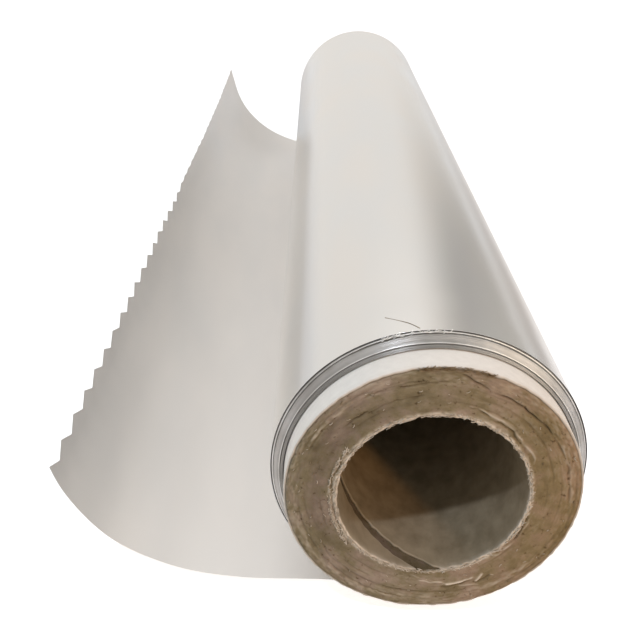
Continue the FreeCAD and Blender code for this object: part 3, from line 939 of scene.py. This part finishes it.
def fibre_look(name, dark, light, metallic=0.0):
    """Torn fibres of pulp or crumbs of foil: uneven in tone, matt as pulp and half bright as foil."""
    look, tree, shader = material(name)
    place = add(tree, "ShaderNodeTexCoord").outputs["Object"]
    # The tone changes about every 1.1 mm, so that each fibre has its own
    patches = add(tree, NOISE, Vector=place, Scale=0.9 / MM, Detail=2.0)
    tint = add(tree, RAMP, stops=[(0.35, dark), (0.65, light)], Fac=patches)
    feed(tree, shader, Base_Color=tint, Roughness=0.9 - 0.4 * metallic, Metallic=metallic,
         Specular_IOR_Level=0.2)
    return look


def fibres_tree():
    """Nodes that strew short bent fibres on a ring at the mouth of the core."""
    tree, given = geometry_tree(
        "torn_fibres", ("Ring radius", "Spread", "First angle", "Last angle", "Place", "Depth spread",
                        "Length", "Thickness", "Stray", "Lift"),
        (("Count", "Int"), ("Seed", "Int"), ("Material", "Material")))
    index = add(tree, "GeometryNodeInputIndex")
    draws = []
    for step in range(6):
        seed = add(tree, *PLUS, i0=given["Seed"], i1=float(step))
        draws.append(add(tree, "FunctionNodeRandomValue", {"data_type": "FLOAT"}, i2=0.0, i3=1.0,
                         ID=index, Seed=seed).outputs[1])
    angle = add(tree, SPAN, Value=draws[0], From_Min=0.0, From_Max=1.0,
                To_Min=given["First angle"], To_Max=given["Last angle"])
    off = add(tree, *MINUS, i0=draws[1], i1=0.5)
    radius = add(tree, *TIMES_PLUS, i0=off, i1=given["Spread"], i2=given["Ring radius"])
    back = add(tree, *TIMES_PLUS, i0=draws[5], i1=given["Depth spread"], i2=given["Place"])
    cosine = add(tree, "ShaderNodeMath", {"operation": "COSINE"}, i0=angle)
    sine = add(tree, "ShaderNodeMath", {"operation": "SINE"}, i0=angle)
    x = add(tree, *TIMES, i0=radius, i1=cosine)
    z = add(tree, *TIMES, i0=radius, i1=sine)
    spot = add(tree, "ShaderNodeCombineXYZ", X=x, Y=back, Z=z)
    points = add(tree, "GeometryNodePoints", Count=given["Count"], Position=spot)
    swing = add(tree, *MINUS, i0=draws[2], i1=0.5)
    stray = add(tree, *TIMES_PLUS, i0=swing, i1=given["Stray"], i2=angle)
    along = add(tree, *TIMES_PLUS, i0=stray, i1=-1.0, i2=-math.pi / 2.0)
    tilt = add(tree, *TIMES, i0=draws[3], i1=given["Lift"])
    tipped = add(tree, *TIMES, i0=tilt, i1=-1.0)
    round_axis = add(tree, "FunctionNodeAxisAngleToRotation", Axis=(0.0, 1.0, 0.0), Angle=along)
    out_of_face = add(tree, "FunctionNodeAxisAngleToRotation", Axis=(0.0, 0.0, 1.0), Angle=tipped)
    turn = add(tree, "FunctionNodeRotateRotation", {"rotation_space": "LOCAL"},
               Rotation=round_axis, Rotate_By=out_of_face)
    share = add(tree, *TIMES_PLUS, i0=draws[4], i1=0.7, i2=0.3)
    length = add(tree, *TIMES, i0=share, i1=given["Length"])
    bent = add(tree, "GeometryNodeCurveQuadraticBezier", Resolution=4, Start=(-0.5, 0.0, 0.0),
               Middle=(0.05, -0.1, 0.28), End=(0.5, 0.0, 0.0))
    strewn = add(tree, "GeometryNodeInstanceOnPoints", Points=points, Instance=bent,
                 Rotation=turn, Scale=length)
    loose = add(tree, "GeometryNodeRealizeInstances", Geometry=strewn)
    section = add(tree, "GeometryNodeCurvePrimitiveCircle", Resolution=4, Radius=given["Thickness"])
    strands = add(tree, "GeometryNodeCurveToMesh", Curve=loose, Profile_Curve=section, Fill_Caps=True)
    whole = add(tree, "GeometryNodeRealizeInstances", Geometry=strands)
    painted = add(tree, "GeometryNodeSetMaterial", Geometry=whole, Material=given["Material"])
    add(tree, "NodeGroupOutput", Geometry=painted)
    return tree


def fibres(tree, name, look, count, radius, spread, degrees, place, depth, length, thick, stray, lift, seed):
    """A tuft or ring of fibres. Sizes are in millimetres and angles in degrees: spread is across the
    ring, depth along the axis, stray a fibre's turn off the ring and lift its rise off the face."""
    made = grown(name, tree, {
        "Count": count, "Ring radius": radius * MM, "Spread": spread * MM,
        "First angle": math.radians(degrees[0]), "Last angle": math.radians(degrees[1]),
        "Place": place * MM, "Depth spread": depth * MM, "Length": length * MM, "Thickness": thick * MM,
        "Stray": math.radians(stray), "Lift": math.radians(lift), "Seed": seed, "Material": look})
    close(made)
    return made


def strand(name, route, thick, look):
    """One thin loose fibre along a smooth curve through a few points in millimetres."""
    curve = bpy.data.curves.new(name + "_route", "CURVE")
    curve.dimensions = "3D"
    spline = curve.splines.new("NURBS")
    spline.points.add(len(route) - 1)
    for point, place in zip(spline.points, route):
        point.co = (*[c * MM for c in place], 1.0)
    spline.order_u = 3
    spline.use_endpoint_u = True
    curve.bevel_depth = thick * MM
    curve.bevel_resolution = 1
    curve.use_fill_caps = True
    made = settled(name, placed(name + "_carrier", curve))
    bpy.data.curves.remove(curve)
    made.data.materials.clear()
    made.data.materials.append(look)
    return made


bright_side = foil_look("bright_side_of_foil", 0.17, 0.23, 0.5, ("EDEEEE", "F0EEEB"))
matt_side = foil_look("matt_side_of_foil", 0.42, 0.50, 0.35, ("EEEDEC", "F3F1EF"))
foil_edges = edge_look()
board = board_look()
kraft = facing_look()
liner_paper = liner_look()

sheet = foil_sheet(bright_side, matt_side)
finish_piece(sheet, "foil", "foil")
winding = turns_tree(foil_edges)
near_turns = end_turns(winding, "foil_turns_near", NEAR_Y, math.pi / 2.0, TELESCOPE, SEED_TURNS_NEAR)
finish_piece(near_turns, "foil", "foil")
far_turns = end_turns(winding, "foil_turns_far", FAR_Y, -math.pi / 2.0, -TELESCOPE, SEED_TURNS_FAR)
finish_piece(far_turns, "foil", "foil")
finish_piece(core_tube(board), "brown_board", "core_tube")
finish_piece(core_facing(kraft), "white_ply", "core_facing")
finish_piece(core_liner(liner_paper), "liner_ply", "core_liner")

pale_pulp = fibre_look("pale_torn_pulp", "A59A88", "D2C9BA")
brown_pulp = fibre_look("brown_torn_pulp", "64533C", "8C7A5E")
torn_foil = fibre_look("torn_foil_crumbs", "D9D9D8", "FAFAF9", 1.0)
torn = fibres_tree()
full = (0.0, 360.0)
tufts = (
    # Name, finish, slot and count; radius, spread and angles of the ring; place and depth along the
    # axis; length and thickness of a fibre; stray, lift and step of the seed
    ("bore_lip_fibres", pale_pulp, "liner_ply", 560, LINER_R, 0.6, full,
     CORE_NEAR_Y + 0.1, -0.45, 1.2, 0.055, 90.0, 30.0, 0),
    ("far_lip_fibres", pale_pulp, "liner_ply", 240, LINER_R, 0.5, full,
     CORE_FAR_Y - 0.12, 0.35, 1.2, 0.055, 90.0, -30.0, 50),
    ("second_ply_fibres", pale_pulp, "brown_board", 110, 17.35, 0.5, (146.0, 216.0),
     CORE_NEAR_Y, -0.25, 1.1, 0.055, 90.0, 15.0, 10),
    ("board_fibres", pale_pulp, "brown_board", 60, 21.2, 5.8, full,
     CORE_NEAR_Y + 0.05, -0.15, 0.7, 0.045, 90.0, 10.0, 20),
    ("dark_board_fibres", brown_pulp, "brown_board", 70, 21.4, 5.6, full,
     CORE_NEAR_Y + 0.05, -0.12, 0.6, 0.06, 60.0, 6.0, 30),
    ("top_edge_fibres", brown_pulp, "brown_board", 80, 24.85, 0.7, (72.0, 98.0),
     CORE_NEAR_Y + 0.1, -0.2, 1.8, 0.05, 30.0, 20.0, 40),
    ("torn_foil_crumbs", torn_foil, "foil", 44, 27.42, 0.3, (86.0, 110.0),
     NEAR_Y - 0.05, -0.6, 1.1, 0.05, 90.0, 30.0, 60),
)
for name, look, slot, *measures, seed_step in tufts:
    finish_piece(fibres(torn, name, look, *measures, SEED_FIBRES + seed_step), slot)
stray_route = [(-8.36, -143.6, 26.21), (-5.92, -146.0, 26.87), (-4.44, -147.4, 27.16), (-3.19, -149.3, 27.34)]
finish_piece(strand("stray_fibre", stray_route, 0.035, brown_pulp), "brown_board")
